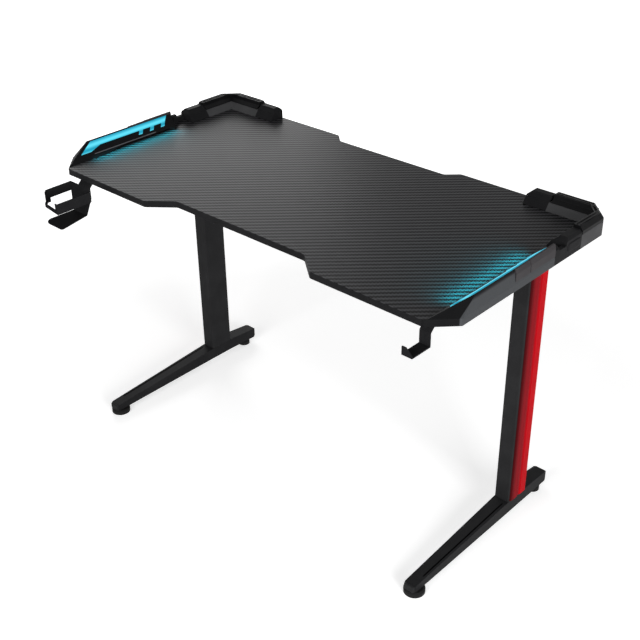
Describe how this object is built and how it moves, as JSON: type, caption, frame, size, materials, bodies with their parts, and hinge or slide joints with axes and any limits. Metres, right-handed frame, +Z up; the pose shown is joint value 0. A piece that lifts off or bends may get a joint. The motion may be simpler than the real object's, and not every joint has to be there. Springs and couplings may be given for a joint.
{
  "type": "gaming desk",
  "caption": "Gaming desk: dark board with woven-look top, lit wings at both ends, rear corner guards, T-legs with red panels, cup holder and headset hook.",
  "frame": {"origin": "on the floor, under the middle of the box round the desk with its cup holder", "axes": "+X to the user's right along the desk, +Y away from the user, +Z up"},
  "size_m": [1.2, 0.698, 0.77],
  "materials": {
    "board_core": "raw particle board",
    "carbon_look_laminate": "woven twill relief, satin",
    "edge_band": "satin edge band",
    "black_moulding": "fine moulded grain",
    "dark_armour": "smooth semi-gloss",
    "lit_diffuser": "translucent, lit cyan",
    "lamp_circuit": "white solder mask",
    "black_steel": "fine texture powder coat",
    "red_panel": "semi-gloss red",
    "foot_cap": "moulded cap",
    "pad_plastic": "moulded pad",
    "zinc_steel": "bright zinc",
    "control_circuit": "green solder mask",
    "inlet_contact": "moulded socket"
  },
  "bodies": {
    "desk": {"bracket_screws": "zinc_steel", "carbon_laminate": "carbon_look_laminate", "control_board": "control_circuit", "controller_box": "black_moulding", "controller_screws": "zinc_steel", "cup_holder": "black_steel", "cup_holder_screws": "zinc_steel", "desktop_core": "board_core", "edge_band": "edge_band", "foot_bolts": "zinc_steel", "front_rail": "black_steel", "headset_hook": "black_steel", "hook_screws": "zinc_steel", "left_column_plate": "zinc_steel", "left_foot_bar": "black_steel", "left_guard_base": "black_moulding", "left_guard_cap": "dark_armour", "left_guard_rear_block": "black_moulding", "left_guard_side_block": "black_moulding", "left_heel_cap": "foot_cap", "left_lamp_board": "lamp_circuit", "left_leg_column": "black_steel", "left_leg_trim": "red_panel", "left_light_diffuser": "lit_diffuser", "left_toe_cap": "foot_cap", "left_top_bracket": "black_steel", "left_wing_armour": "dark_armour", "left_wing_end_block": "black_moulding", "left_wing_housing": "black_moulding", "leveller_nuts": "zinc_steel", "power_inlet": "inlet_contact", "rail_bolts": "zinc_steel", "rail_plates": "zinc_steel", "rear_rail": "black_steel", "right_column_plate": "zinc_steel", "right_foot_bar": "black_steel", "right_guard_base": "black_moulding", "right_guard_cap": "dark_armour", "right_guard_rear_block": "black_moulding", "right_guard_side_block": "black_moulding", "right_heel_cap": "foot_cap", "right_lamp_board": "lamp_circuit", "right_leg_column": "black_steel", "right_leg_trim": "red_panel", "right_light_diffuser": "lit_diffuser", "right_toe_cap": "foot_cap", "right_top_bracket": "black_steel", "right_wing_armour": "dark_armour", "right_wing_end_block": "black_moulding", "right_wing_housing": "black_moulding", "trim_screws": "zinc_steel"},
    "left_front_leveller": {"left_front_leveller_pad": "pad_plastic", "left_front_leveller_stud": "zinc_steel"},
    "left_rear_leveller": {"left_rear_leveller_pad": "pad_plastic", "left_rear_leveller_stud": "zinc_steel"},
    "right_front_leveller": {"right_front_leveller_pad": "pad_plastic", "right_front_leveller_stud": "zinc_steel"},
    "right_rear_leveller": {"right_rear_leveller_pad": "pad_plastic", "right_rear_leveller_stud": "zinc_steel"},
    "mode_button": {"mode_button": "dark_armour"}
  },
  "joints": [
    {"name": "left_front_leveller_height", "type": "slide", "parent": "desk", "child": "left_front_leveller", "axis": [0, 0, 1], "range_m": [-0.008, 0]},
    {"name": "left_rear_leveller_height", "type": "slide", "parent": "desk", "child": "left_rear_leveller", "axis": [0, 0, 1], "range_m": [-0.008, 0]},
    {"name": "right_front_leveller_height", "type": "slide", "parent": "desk", "child": "right_front_leveller", "axis": [0, 0, 1], "range_m": [-0.008, 0]},
    {"name": "right_rear_leveller_height", "type": "slide", "parent": "desk", "child": "right_rear_leveller", "axis": [0, 0, 1], "range_m": [-0.008, 0]},
    {"name": "mode_button_press", "type": "slide", "parent": "desk", "child": "mode_button", "axis": [0, 1, 0], "range_m": [0, 0.0015], "stiffness_N_per_m": 300}
  ]
}
